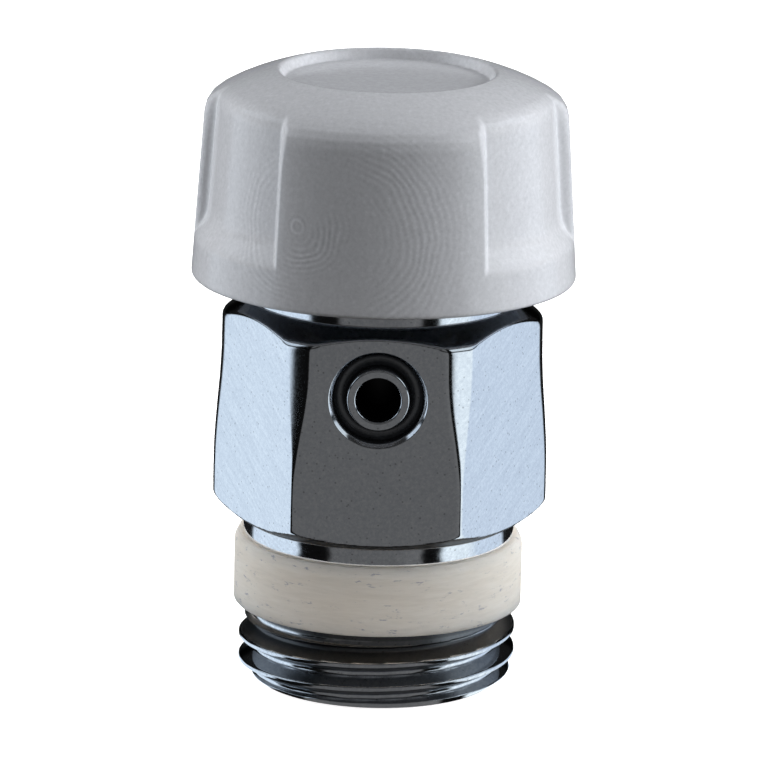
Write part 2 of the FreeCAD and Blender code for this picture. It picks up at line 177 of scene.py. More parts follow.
def ramp(tree, source, stops):
    """Colour ramp from a list of (place, tone), a tone being a hex code, a grey or a linear colour."""
    node = add_node(tree, "ShaderNodeValToRGB", Fac=source)
    elements = node.color_ramp.elements
    while len(elements) < len(stops):
        elements.new(0.5)
    for element, (place, tone) in zip(elements, stops):
        element.position = place
        if isinstance(tone, str):
            element.color = srgb(tone)
        else:
            element.color = (*tone, 1) if isinstance(tone, tuple) else (tone, tone, tone, 1)
    return node


def object_coordinates(tree, scale, turn=(0, 0, 0), mirror=(0, 0, 0)):
    """Object coordinates turned first and then scaled, for a pattern drawn out along a direction.
    The scale is in pattern cells per metre, so 1000 makes cells of 1 mm. mirror makes the pattern the
    same on both sides of the plane across that axis."""
    source = add_node(tree, "ShaderNodeTexCoord")
    folded = add_node(
        tree, "ShaderNodeVectorMath", {"operation": "ABSOLUTE"}, i0=source.outputs["Object"])
    mixed = add_node(
        tree, "ShaderNodeMix", {"data_type": "VECTOR", "factor_mode": "NON_UNIFORM", 1: mirror},
        i4=source.outputs["Object"], i5=folded.outputs["Vector"])
    turned = add_node(tree, "ShaderNodeMapping", {"Rotation": turn}, Vector=mixed.outputs[1])
    scaled = add_node(tree, "ShaderNodeMapping", {"Scale": scale}, Vector=turned.outputs["Vector"])
    return scaled.outputs["Vector"]


def polished_chrome():
    """Bright chromium plate on belt-polished brass: a mirror. Hair-fine scratches run down to the right
    across the left flat, and as their mirror image across the right one. A faint grain breaks up the
    reflections, and there are tiny dark pits. Painted shade, which a point attribute gives, darkens the
    plate and makes it rougher in the port, the bores and the recesses, at the hexagon's foot, on the
    thread's lower flanks and under the ring."""
    material, tree, shader = new_material("bright_chromium_plate")
    along = Vector(BELT_RUN).normalized()
    across = along.orthogonal().normalized()
    belt = Matrix((along, across, along.cross(across))).to_euler()
    # Scratches 0.3 mm apart and about 4 mm long, and a grain of 0.2 mm: both are coarser than a real
    # belt of grit 400 leaves, so that they show
    scratches = add_node(
        tree, "ShaderNodeTexNoise", {"Scale": 1.0, "Detail": 3.0, "Roughness": 0.6},
        Vector=object_coordinates(tree, (260, 3400, 3400), belt, (1, 0, 0)))
    grain = add_node(
        tree, "ShaderNodeTexNoise", {"Scale": 1.0, "Detail": 4.0, "Roughness": 0.7},
        Vector=object_coordinates(tree, (4200, 4200, 4200)))
    both = add_node(
        tree, "ShaderNodeMath", {"operation": "MULTIPLY_ADD", 1: 0.6},
        i0=scratches.outputs["Fac"], i2=grain.outputs["Fac"])
    tone = ramp(tree, both.outputs["Value"], [(0.5, "#CBCFD6"), (0.8, "#DBDFE5"), (1.0, "#E9ECF0")])
    # Painted shade: a point attribute blends the plate towards near-black and makes it rougher, where the
    # real plate lies in shade or mirrors dark things
    painted_dark = add_node(tree, "ShaderNodeAttribute", {"attribute_name": "painted_shade"})
    plate = add_node(
        tree, "ShaderNodeMix", {"data_type": "RGBA", 7: srgb("#141313")},
        i0=painted_dark.outputs["Fac"], i6=tone.outputs["Color"])
    # Pits 0.1 mm across, one to each cell of 0.5 mm
    cells = add_node(
        tree, "ShaderNodeTexVoronoi", {"Scale": 1.0}, Vector=object_coordinates(tree, (1900, 1900, 1900)))
    specks = ramp(tree, cells.outputs["Distance"], [(0.1, 0.4), (0.16, 0.0)])
    pitted = add_node(
        tree, "ShaderNodeMix", {"data_type": "RGBA", 7: srgb("#3A322B")},
        i0=specks.outputs["Color"], i6=plate.outputs[2])
    tree.links.new(pitted.outputs[2], shader.inputs["Base Color"])
    shader.inputs["Metallic"].default_value = 1.0
    haze = add_node(
        tree, "ShaderNodeMapRange", {"To Min": 0.05, "To Max": 0.15}, Value=grain.outputs["Fac"])
    dull = add_node(
        tree, "ShaderNodeMath", {"operation": "MULTIPLY_ADD", 1: 0.4},
        i0=painted_dark.outputs["Fac"], i2=haze.outputs["Result"])
    tree.links.new(dull.outputs["Value"], shader.inputs["Roughness"])
    bump = add_node(
        tree, "ShaderNodeBump", {"Strength": 0.15, "Distance": 0.00001}, Height=both.outputs["Value"])
    tree.links.new(bump.outputs["Normal"], shader.inputs["Normal"])
    return material


def ripples(tree, centre, spacing, near, far, heading):
    """Height of round waves about a point of the cap, with the spacing, the nearest and the farthest
    distance in mm. They waver a little, are strongest half way between the two distances and, where
    a heading is given, show only on that side of the point."""
    source = add_node(tree, "ShaderNodeTexCoord")
    point = Vector(centre) * MM
    offset = add_node(
        tree, "ShaderNodeVectorMath", {"operation": "SUBTRACT", 1: point}, i0=source.outputs["Object"])
    away = add_node(tree, "ShaderNodeVectorMath", {"operation": "LENGTH"}, i0=offset.outputs["Vector"])
    waver = add_node(
        tree, "ShaderNodeTexNoise", {"Scale": 1.0, "Detail": 2.0},
        Vector=object_coordinates(tree, (260, 260, 260)))
    unsteady = add_node(
        tree, "ShaderNodeMath", {"operation": "MULTIPLY_ADD", 1: 0.0012},
        i0=waver.outputs["Fac"], i2=away.outputs["Value"])
    wave = add_node(
        tree, "ShaderNodeMath", {"operation": "MULTIPLY", 1: TURN / (spacing * MM)},
        i0=unsteady.outputs["Value"])
    sine = add_node(tree, "ShaderNodeMath", {"operation": "SINE"}, i0=wave.outputs["Value"])
    place = add_node(
        tree, "ShaderNodeMapRange",
        {"From Min": near * MM, "From Max": far * MM, "To Min": -1.0, "To Max": 1.0},
        Value=away.outputs["Value"])
    from_middle = add_node(tree, "ShaderNodeMath", {"operation": "ABSOLUTE"}, i0=place.outputs["Result"])
    fade = add_node(
        tree, "ShaderNodeMath", {"operation": "SUBTRACT", 0: 1.0}, i1=from_middle.outputs["Value"])
    if heading is not None:
        unit = add_node(
            tree, "ShaderNodeVectorMath", {"operation": "NORMALIZE"}, i0=offset.outputs["Vector"])
        side = add_node(
            tree, "ShaderNodeVectorMath", {"operation": "DOT_PRODUCT", 1: heading},
            i0=unit.outputs["Vector"])
        ahead = add_node(
            tree, "ShaderNodeMapRange", {"From Min": 0.1, "From Max": 0.6}, Value=side.outputs["Value"])
        fade = add_node(
            tree, "ShaderNodeMath", {"operation": "MULTIPLY"},
            i0=fade.outputs["Value"], i1=ahead.outputs["Result"])
    height = add_node(
        tree, "ShaderNodeMath", {"operation": "MULTIPLY"},
        i0=sine.outputs["Value"], i1=fade.outputs["Value"])
    return height.outputs["Value"]


def cap_plastic():
    """Pale grey ABS, moulded: satin, with a round gate mark, and round ripples that the mould's
    milling left on the front lobe and across the left panel, upright flow lines and a fine grain."""
    material, tree, shader = new_material("moulded_grey_abs")
    shader.inputs["Roughness"].default_value = 0.2
    shader.inputs["IOR"].default_value = 1.54
    # A grain of 0.3 mm, coarser than the real one so that it shows, and flow lines 1 mm wide
    grain = add_node(
        tree, "ShaderNodeTexNoise", {"Scale": 1.0, "Detail": 3.0, "Roughness": 0.7},
        Vector=object_coordinates(tree, (3000, 3000, 3000)))
    flow = add_node(
        tree, "ShaderNodeTexNoise", {"Scale": 1.0, "Detail": 2.0},
        Vector=object_coordinates(tree, (800, 800, 150)))
    gate = ripples(tree, GATE_MARK, 0.42, 0.4, 4.4, (0.75, 0.2, -0.6))
    beside = ripples(tree, (-3.4, -13.6, 37.0), 0.5, 2.4, 10.6, (0.95, 0.3, 0.05))
    mark = ripples(tree, GATE_MARK, 0.5, -0.1, 1.0, None)
    across = ripples(tree, GATE_MARK, 0.45, 3.0, 6.8, (-0.8, 0.5, -0.3))
    sides = add_node(tree, "ShaderNodeMath", {"operation": "ADD"}, i0=beside, i1=across)
    arcs = add_node(
        tree, "ShaderNodeMath", {"operation": "MULTIPLY_ADD", 1: 0.65},
        i0=sides.outputs["Value"], i2=gate)
    waves = add_node(
        tree, "ShaderNodeMath", {"operation": "MULTIPLY_ADD", 1: 1.2}, i0=mark, i2=arcs.outputs["Value"])
    mottle = add_node(
        tree, "ShaderNodeMath", {"operation": "MULTIPLY_ADD", 1: 0.25},
        i0=waves.outputs["Value"], i2=grain.outputs["Fac"])
    tone = ramp(
        tree, mottle.outputs["Value"],
        [(0.1, "#ADAEB3"), (0.4, "#BDBEC2"), (0.6, "#C4C5C9"), (0.9, "#D3D4D8")])
    tree.links.new(tone.outputs["Color"], shader.inputs["Base Color"])
    height = add_node(
        tree, "ShaderNodeMath", {"operation": "MULTIPLY_ADD", 1: 0.3},
        i0=waves.outputs["Value"], i2=flow.outputs["Fac"])
    rough = add_node(
        tree, "ShaderNodeMath", {"operation": "MULTIPLY_ADD", 1: 0.2},
        i0=grain.outputs["Fac"], i2=height.outputs["Value"])
    bump = add_node(
        tree, "ShaderNodeBump", {"Strength": 0.6, "Distance": 0.00003}, Height=rough.outputs["Value"])
    tree.links.new(bump.outputs["Normal"], shader.inputs["Normal"])
    return material


def ptfe():
    """Sintered PTFE, turned: off-white, waxy and a little translucent, with fine tool streaks round
    it and short dark specks where the sinter tore."""
    material, tree, shader = new_material("turned_ptfe")
    shader.inputs["Roughness"].default_value = 0.6
    shader.inputs["IOR"].default_value = 1.38
    shader.inputs["Subsurface Weight"].default_value = 1.0
    shader.inputs["Subsurface Radius"].default_value = (1.0, 0.9, 0.8)
    shader.inputs["Subsurface Scale"].default_value = 0.01
    # Tool streaks 0.3 mm apart and torn specks 0.4 mm high, coarser than real so that they show
    streak = add_node(
        tree, "ShaderNodeTexNoise", {"Scale": 1.0, "Detail": 4.0, "Roughness": 0.65},
        Vector=object_coordinates(tree, (420, 420, 3200)))
    tone = ramp(tree, streak.outputs["Fac"], [(0.25, "#C3B9AD"), (0.5, "#CBC1B5"), (0.75, "#D1C8BD")])
    torn = add_node(
        tree, "ShaderNodeTexNoise", {"Scale": 1.0, "Detail": 5.0, "Roughness": 0.75},
        Vector=object_coordinates(tree, (700, 700, 2600)))
    specks = ramp(tree, torn.outputs["Fac"], [(0.6, 0.0), (0.66, 0.8)])
    mixed = add_node(
        tree, "ShaderNodeMix", {"data_type": "RGBA", 7: srgb("#84838C")},
        i0=specks.outputs["Color"], i6=tone.outputs["Color"])
    tree.links.new(mixed.outputs[2], shader.inputs["Base Color"])
    bump = add_node(
        tree, "ShaderNodeBump", {"Strength": 0.35, "Distance": 0.00003}, Height=streak.outputs["Fac"])
    tree.links.new(bump.outputs["Normal"], shader.inputs["Normal"])
    return material


def plain_metal(name, low, high, roughness, pattern, metallic=1.0, bump_height=0.00001):
    """Turned or drawn metal, or another plain stuff, with a noise pattern in cells per metre."""
    material, tree, shader = new_material(name)
    shader.inputs["Metallic"].default_value = metallic
    shader.inputs["Roughness"].default_value = roughness
    noise = add_node(
        tree, "ShaderNodeTexNoise", {"Scale": 1.0, "Detail": 4.0},
        Vector=object_coordinates(tree, pattern))
    tone = ramp(tree, noise.outputs["Fac"], [(0.3, low), (0.7, high)])
    tree.links.new(tone.outputs["Color"], shader.inputs["Base Color"])
    bump = add_node(
        tree, "ShaderNodeBump", {"Strength": 0.3, "Distance": bump_height}, Height=noise.outputs["Fac"])
    tree.links.new(bump.outputs["Normal"], shader.inputs["Normal"])
    return material


CHROME = polished_chrome()
CAP_PLASTIC = cap_plastic()
PTFE = ptfe()
FINISHES = {
    "chromed_brass": CHROME,
    "ptfe": PTFE,
    "cap_plastic": CAP_PLASTIC,
    "bare_brass": plain_metal("turned_brass", "#B8924A", "#CDA85C", 0.28, (300, 300, 4000)),
    "spring_steel": plain_metal("drawn_spring_steel", "#8C8D90", "#A5A6A9", 0.3, (1500, 1500, 1500)),
    "rubber": plain_metal(
        "moulded_nitrile_rubber", "#17171A", "#222225", 0.6, (2500, 2500, 2500), metallic=0.0),
    "acetal": plain_metal(
        "moulded_black_acetal", "#171718", "#202021", 0.4, (900, 900, 900), metallic=0.0),
    "fibre": plain_metal(
        "pressed_cellulose_fibre", "#8A5A3C", "#A87450", 0.85, (3000, 3000, 900), metallic=0.0,
        bump_height=0.00003),
}


def softmin(a, b, size):
    """The smaller of two values, rounded over a stretch of about the given size where they cross."""
    gap = np.clip(0.5 + 0.5 * (b - a) / size, 0, 1)
    return b + (a - b) * gap - size * gap * (1 - gap)


def softmax(a, b, size):
    """The larger of two values, rounded over a stretch of about the given size where they cross."""
    return -softmin(-a, -b, size)


def mesh_object(name, vertices, faces, material, weld=False):
    """A smooth mesh object in metres from vertices in millimetres."""
    mesh = bpy.data.meshes.new(name)
    mesh.from_pydata((np.asarray(vertices) * MM).tolist(), [], [list(map(int, face)) for face in faces])
    if weld:
        merge = bmesh.new()
        merge.from_mesh(mesh)
        bmesh.ops.remove_doubles(merge, verts=merge.verts, dist=0.0001 * MM)
        merge.to_mesh(mesh)
        merge.free()
    mesh.update()
    mesh.polygons.foreach_set("use_smooth", np.ones(len(mesh.polygons), dtype=bool))
    piece = bpy.data.objects.new(name, mesh)
    bpy.context.scene.collection.objects.link(piece)
    mesh.materials.append(material)
    return piece


def grid_faces(rows, columns, wrap_rows=False, wrap_columns=False, keep=None):
    """Quads of a grid of rows by columns, numbered row by row. keep masks the quads that stay."""
    row = np.arange(rows if wrap_rows else rows - 1)
    column = np.arange(columns if wrap_columns else columns - 1)
    i, j = np.meshgrid(row, column, indexing="ij")
    if keep is not None:
        i, j = i[keep], j[keep]
    i, j = i.ravel(), j.ravel()
    up, right = (i + 1) % rows, (j + 1) % columns
    return np.stack([i * columns + j, i * columns + right, up * columns + right, up * columns + j], 1)


def stretch(start, end, count):
    """Points along a straight stretch of a profile, without its last one."""
    t = np.linspace(0, 1, count, endpoint=False)[:, None]
    return np.asarray(start, float) * (1 - t) + np.asarray(end, float) * t


def bend(centre, radius, first, last, count):
    """Points of a profile along an arc, in degrees from the radial direction, without its last one."""
    angle = np.radians(np.linspace(first, last, count, endpoint=False))
    return np.stack([centre[0] + radius * np.cos(angle), centre[1] + radius * np.sin(angle)], 1)


def route(*corners):
    """Straight stretches of a profile from corner to corner, without the last one. A corner is its
    radius, its height and the number of points up to the next corner."""
    return np.concatenate([
        stretch(start[:2], end[:2], start[2]) for start, end in zip(corners, corners[1:])])


def levels(heights):
    """Points of a profile at the given heights, whose radius is worked out later."""
    return np.stack([np.zeros(len(heights)), heights], 1)


def rounded(points, radii):
    """Closed profile through corners (radius, height), each rounded by an arc of its own radius, with
    a point for about every 15 degrees."""
    corners = np.asarray(points, float)
    out = []
    count = len(corners)
    for k in range(count):
        before, here, after = corners[k - 1], corners[k], corners[(k + 1) % count]
        size = radii[k]
        to_before = (before - here) / np.linalg.norm(before - here)
        to_after = (after - here) / np.linalg.norm(after - here)
        if size <= 0:
            out.append(here[None, :])
            continue
        half = 0.5 * math.acos(float(np.clip(to_before @ to_after, -1, 1)))
        reach = size / math.tan(half)
        inward = (to_before + to_after) / np.linalg.norm(to_before + to_after)
        centre = here + inward * size / math.sin(half)
        start, end = here + to_before * reach - centre, here + to_after * reach - centre
        sweep = math.pi - 2 * half
        steps = max(3, int(math.degrees(sweep) / 15) + 1)
        t = np.linspace(0, 1, steps)[:, None]
        arc = (np.sin((1 - t) * sweep) * start + np.sin(t * sweep) * end) / math.sin(sweep)
        out.append(centre + arc)
    return np.concatenate(out)


def spread(density, count):
    """Places from 0 to 1, count of them, closer together where the density function is higher."""
    t = np.linspace(0, 1, 4001)
    total = np.concatenate([[0], np.cumsum((density(t[:-1]) + density(t[1:])) / 2)])
    return np.interp(np.arange(count) / count, total / total[-1], t)


# The hexagon's turned corners: their radius at the bend, how far they taper from there to the top, and
# how much they widen half way down to the foot and at it
CORNER_R = 12.10
CORNER_TAPER = 0.04
CORNER_BEND_DROP = 4.6
CORNER_WIDEN_H = 9.3
CORNER_WIDER_MIDWAY = 0.38
CORNER_WIDER_AT_FOOT = 0.65
CORNER_MOST_R = 12.62

# Rounding of the hexagon's edges: between the flats and the corners, at both chamfers, at the roots
HEX_EDGE = 0.2
FOOT_EDGE = 0.9
TOP_EDGE = 0.45
ROOT_EDGE = 0.1
HEX_MIDDLE_Z = 20


def corner_radius(z):
    """Radius of the turned corners of the hexagon: slender and almost straight down to the bend,
    then widening along a parabola down to the full corner at the foot."""
    bend_z = HEX_TOP_Z - CORNER_BEND_DROP
    low = np.minimum(softmax((bend_z - z) / CORNER_WIDEN_H, 0 * z, 0.2), 1)
    straight = CORNER_R - CORNER_TAPER / CORNER_BEND_DROP * (np.maximum(z, bend_z) - bend_z)
    first = 4 * CORNER_WIDER_MIDWAY - CORNER_WIDER_AT_FOOT
    second = 2 * CORNER_WIDER_AT_FOOT - 4 * CORNER_WIDER_MIDWAY
    return softmin(straight + first * low + second * low ** 2, CORNER_MOST_R, 0.1)


# The body's grid: columns to a flat, and the window in the front flat and in the bore behind it that
# the port's own patch fills
HEX_COLUMNS = 54
FLAT_WINDOW = math.atan(4.55 / FLAT_R)
WINDOW_FOOT_Z = 19.9
WINDOW_TOP_Z = 28.3
BORE_WINDOW_H = 2.5
PORT_ROWS = 38
FINE_ROWS_TO_Z = 14.2


def hex_angles():
    """Column angles round the body: six equal sectors, with the columns 3.6 times as close from 21.5
    degrees off each flat's middle, near the corners."""
    half = math.radians(30)

    def density(t):
        return 1.0 + 2.6 * (np.abs(2 * t - 1) * 30 > 21.5)

    sector = spread(density, HEX_COLUMNS) * 2 * half - half
    return (sector[None, :] + math.radians(-90) + np.arange(6)[:, None] * 2 * half).ravel()


def thread_radius(angle, z):
    """Rounded right-hand thread: a triangle wave of the height less the turn, cut and rounded."""
    phase = (z - THREAD_START_Z) / THREAD_PITCH - angle / TURN
    wave = np.abs((phase % 1.0) * 2 - 1) - 0.5
    flank = softmin(wave * THREAD_FORM_H, THREAD_DEPTH / 2, THREAD_ROUND)
    flank = softmax(flank, -THREAD_DEPTH / 2, THREAD_ROUND)
    return THREAD_R - THREAD_DEPTH / 2 + flank


def shank_radius(angle, z):
    """Radius of the shank: the thread between the chamfer cone at its end and the run-out that
    leads down to the seal ring's land."""
    cone = SHANK_END_R + (THREAD_R - SHANK_END_R) * z / SHANK_CHAMFER_H
    down = np.clip((z - RING_Z + THREAD_RUNOUT) / THREAD_RUNOUT_H, 0, 1)
    runout = THREAD_R - (THREAD_R - LAND_R) * down
    return np.minimum(softmin(thread_radius(angle, z), cone, 0.1), runout)


def shank_normals(angle, z):
    """Normals of the shank: straight out, less the slopes of its radius along the turn and upwards."""
    step = 0.005
    radius = shank_radius(angle, z)
    rise = (shank_radius(angle, z + step) - shank_radius(angle, z - step)) / (2 * step)
    ahead, behind = shank_radius(angle + step / radius, z), shank_radius(angle - step / radius, z)
    turn = (ahead - behind) / (2 * step)
    normals = np.stack(
        [np.cos(angle) + turn * np.sin(angle), np.sin(angle) - turn * np.cos(angle), -rise], -1)
    return normals / np.linalg.norm(normals, axis=-1, keepdims=True)


def body_profile():
    """Closed profile of the body as named stretches in their order: up the outside, over the collar
    and down through the bores. The radius of the shank and of the hexagon is worked out later."""
    neck_foot = RING_TOP_Z + NECK_ROUND
    neck_top = NECK_TOP_Z - 0.1
    return {
        "end": stretch([CHAMBER_R + MOUTH_CHAMFER, 0], [SHANK_END_R - 0.05, 0], 5),
        "thread": stretch([THREAD_R, 0.0], [THREAD_R, RING_Z], 86),
        "land": stretch([LAND_R, RING_Z], [LAND_R, RING_TOP_Z], 3),
        "neck": np.concatenate([
            stretch([LAND_R, RING_TOP_Z], [NECK_R - NECK_ROUND, RING_TOP_Z], 2),
            bend([NECK_R - NECK_ROUND, neck_foot], NECK_ROUND, -90, 0, 4),
            stretch([NECK_R, neck_foot], [NECK_R, neck_top], 3),
            [[NECK_R, neck_top]],
        ]),
        "hex_low": levels(np.concatenate([
            np.linspace(NECK_TOP_Z + 0.02, FINE_ROWS_TO_Z, 28, endpoint=False),
            np.linspace(FINE_ROWS_TO_Z, WINDOW_FOOT_Z, 18, endpoint=False)])),
        "hex_port": levels(np.linspace(WINDOW_FOOT_Z, WINDOW_TOP_Z, PORT_ROWS)),
        "hex_high": levels(np.linspace(WINDOW_TOP_Z, COLLAR_Z, 15)[1:]),
        "collar": route(
            (COLLAR_R, COLLAR_Z + 0.15, 4),
            (COLLAR_R, COLLAR_TOP_Z - COLLAR_EDGE, 2),
            (COLLAR_R - COLLAR_EDGE, COLLAR_TOP_Z, 2),
            (COLLAR_BORE_R + COLLAR_EDGE, COLLAR_TOP_Z, 2),
            (COLLAR_BORE_R, COLLAR_TOP_Z - COLLAR_EDGE, 2),
            (COLLAR_BORE_R, CARTRIDGE_TOP_Z, 1),
            (CARTRIDGE_R, CARTRIDGE_TOP_Z, 0)),
        "bore_high": stretch([CARTRIDGE_R, CARTRIDGE_TOP_Z], [CARTRIDGE_R, PORT_Z + BORE_WINDOW_H], 3),
        "bore_port": np.stack([
            np.full(PORT_ROWS, CARTRIDGE_R),
            np.linspace(PORT_Z + BORE_WINDOW_H, PORT_Z - BORE_WINDOW_H, PORT_ROWS)], 1),
        "bore_low": route(
            (CARTRIDGE_R, PORT_Z - BORE_WINDOW_H - 0.3, 3),
            (CARTRIDGE_R, CARTRIDGE_Z, 2),
            (SEAT_LIP_R, CARTRIDGE_Z, 2),
            (SEAT_LIP_R, SEAT_Z, 2),
            (PASSAGE_R, SEAT_Z, 3),
            (PASSAGE_R, PASSAGE_Z, 3),
            (CHAMBER_R, PASSAGE_Z, 4),
            (CHAMBER_R, CIRCLIP_TOP_Z, 2),
            (CIRCLIP_GROOVE_R, CIRCLIP_TOP_Z, 2),
            (CIRCLIP_GROOVE_R, CIRCLIP_Z, 2),
            (CHAMBER_R, CIRCLIP_Z, 2),
            (CHAMBER_R, MOUTH_CHAMFER, 3),
            (CHAMBER_R + MOUTH_CHAMFER, 0, 0)),
    }


def hexagon_radius(angle, z):
    """Radius of the hexagon: the flats, the turned corners and both chamfers, each edge rounded."""
    sector = (angle + math.radians(90) + math.radians(30)) % math.radians(60) - math.radians(30)
    flats = FLAT_R / np.cos(sector)
    foot = FLAT_R + (z - HEX_Z) / FOOT_CHAMFER_SLOPE
    top = FLAT_R + (HEX_TOP_Z - z) / CHAMFER_SLOPE
    turned = softmin(softmin(corner_radius(z), foot, FOOT_EDGE), top, TOP_EDGE)
    root = np.where(z > HEX_MIDDLE_Z, COLLAR_R, NECK_R)
    return softmax(softmin(flats, turned, HEX_EDGE), root, ROOT_EDGE)


def polar_fill(inner, outer, rings):
    """Rings of points from an inner loop to an outer loop of as many points, without both loops."""
    t = (np.arange(1, rings) / rings)[:, None, None]
    return inner[None] * (1 - t) + outer[None] * t


def window_rim(first_row, last_row, window, count):
    """Numbers of the grid's points round a window, foot first, then right, top and left."""
    step = 1 if last_row > first_row else -1
    rows = np.arange(first_row, last_row + step, step)
    foot = first_row * count + window[:-1]
    right = rows[:-1] * count + window[-1]
    top = last_row * count + window[:0:-1]
    left = rows[:0:-1] * count + window[0]
    return np.concatenate([foot, right, top, left])


def port_path():
    """Profile of the port (radius from its axis, height over the front flat): over the chamfered lip,
    down the recess's wall, round a half-circle cove, up the nozzle, over its face and down the bore."""
    cove_r = (RECESS_WALL_R - NOZZLE_R) / 2
    cove_z = cove_r - RECESS_DEPTH
    overlap = 0.03
    turn_in = LIP_ROUND * math.tan(math.radians(22.5))
    lip_r, lip_z = RECESS_WALL_R + PORT_LIP, -PORT_LIP
    return np.concatenate([
        bend([lip_r + turn_in, -LIP_ROUND], LIP_ROUND, 90, 135, 4),
        stretch([lip_r - overlap, -overlap], [RECESS_WALL_R + overlap, lip_z + overlap], 4),
        bend([RECESS_WALL_R + LIP_ROUND, lip_z - turn_in], LIP_ROUND, 135, 180, 4),
        stretch([RECESS_WALL_R, lip_z - turn_in], [RECESS_WALL_R, cove_z], 4),
        bend([NOZZLE_R + cove_r, cove_z], cove_r, 0, -180, 14),
        stretch([NOZZLE_R, cove_z], [NOZZLE_R, -NOZZLE_EDGE], 4),
        bend([NOZZLE_R - NOZZLE_EDGE, -NOZZLE_EDGE], NOZZLE_EDGE, 0, 90, 5),
        stretch([NOZZLE_R - NOZZLE_EDGE, 0], [PORT_BORE_R + NOZZLE_EDGE, 0], 3),
        bend([PORT_BORE_R + NOZZLE_EDGE, -NOZZLE_EDGE], NOZZLE_EDGE, 90, 180, 5),
        stretch([PORT_BORE_R, -NOZZLE_EDGE], [PORT_BORE_R, -PORT_BORE_END], 9),
    ])


def port_patch(outer, inner):
    """Rings of points from the window in the front flat to the window in the bore behind it: a polar
    fill that lies on the hexagon, the port's profile turned about the port's own axis, the mouth in
    the bore and a polar fill that lies on the bore."""
    turn = np.unwrap(np.arctan2(outer[:, 2] - PORT_Z, outer[:, 0]))
    even = turn[0] + np.arange(len(turn)) / len(turn) * TURN
    turn = 0.5 * (turn + even)

    def port_ring(r, z):
        return np.stack([r * np.cos(turn), -FLAT_R - z + 0 * turn, PORT_Z + r * np.sin(turn)], 1)

    path = port_path()
    front = polar_fill(port_ring(path[0, 0], 0), outer, 9)[::-1].copy()
    bearing = np.arctan2(front[..., 1], front[..., 0])
    reach = hexagon_radius(bearing, front[..., 2])
    front[..., 0], front[..., 1] = reach * np.cos(bearing), reach * np.sin(bearing)
    bore_x = PORT_BORE_R * np.cos(turn)
    bore_z = PORT_Z + PORT_BORE_R * np.sin(turn)
    mouth = np.stack([bore_x, -np.sqrt(CARTRIDGE_R ** 2 - bore_x ** 2), bore_z], 1)
    back = polar_fill(mouth, inner, 5)
    bearing = np.arctan2(back[..., 1], back[..., 0])
    back[..., 0], back[..., 1] = CARTRIDGE_R * np.cos(bearing), CARTRIDGE_R * np.sin(bearing)
    return np.concatenate([front, np.stack([port_ring(r, z) for r, z in path]), mouth[None], back])


def painted_shade(points):
    """Painted shade at each point, from 0 to 1: in the port and the bores, in the undercut at the
    hexagon's foot, on the thread's lower flanks, and on the shank under the ring but for a strip that
    catches the light. It stands in for shade and dark reflections there."""
    # A little is added to the limits of each place, so that the points on its edge belong to it
    x, y, z = points.T
    reach = np.hypot(x, y)
    from_port = np.hypot(x, z - PORT_Z)
    sunk = (y > 0.45 - FLAT_R) & (y < -3) & (from_port < RECESS_WALL_R + 0.1)
    groove = sunk & (from_port > NOZZLE_R - 0.03)
    inside = (reach < CHAMBER_R + 0.7) & (z > 0.05)
    undercut = z < HEX_Z + (reach - FLAT_R) * FOOT_CHAMFER_SLOPE + 0.1
    undercut &= (z > NECK_TOP_Z - 0.1) & (reach > NECK_R - 0.02)
    bearing = np.arctan2(y, x)
    step = 0.04
    slope = (thread_radius(bearing, z + step) - thread_radius(bearing, z - step)) / (2 * step)
    lower_flanks = np.clip((slope - 0.9) / 0.6, 0, 1) * (z < RING_Z - 0.2)
    lit_strip = np.exp(-((z - RING_Z + 0.98) / 0.2) ** 4)
    shaded = np.clip((z - RING_Z + 2.9) / 0.5, 0, 1) * (reach < THREAD_R - 0.08)
    shaded *= (z < RING_Z) * (1 - lit_strip)
    painted_dark = np.maximum(SHADE_ON_LOWER_FLANKS * lower_flanks, SHADE_UNDER_RING * shaded)
    painted_dark = np.where(undercut, SHADE_IN_UNDERCUT, painted_dark)
    return np.where(sunk | inside, np.where(groove, SHADE_IN_GROOVE, SHADE_IN_BORES), painted_dark)


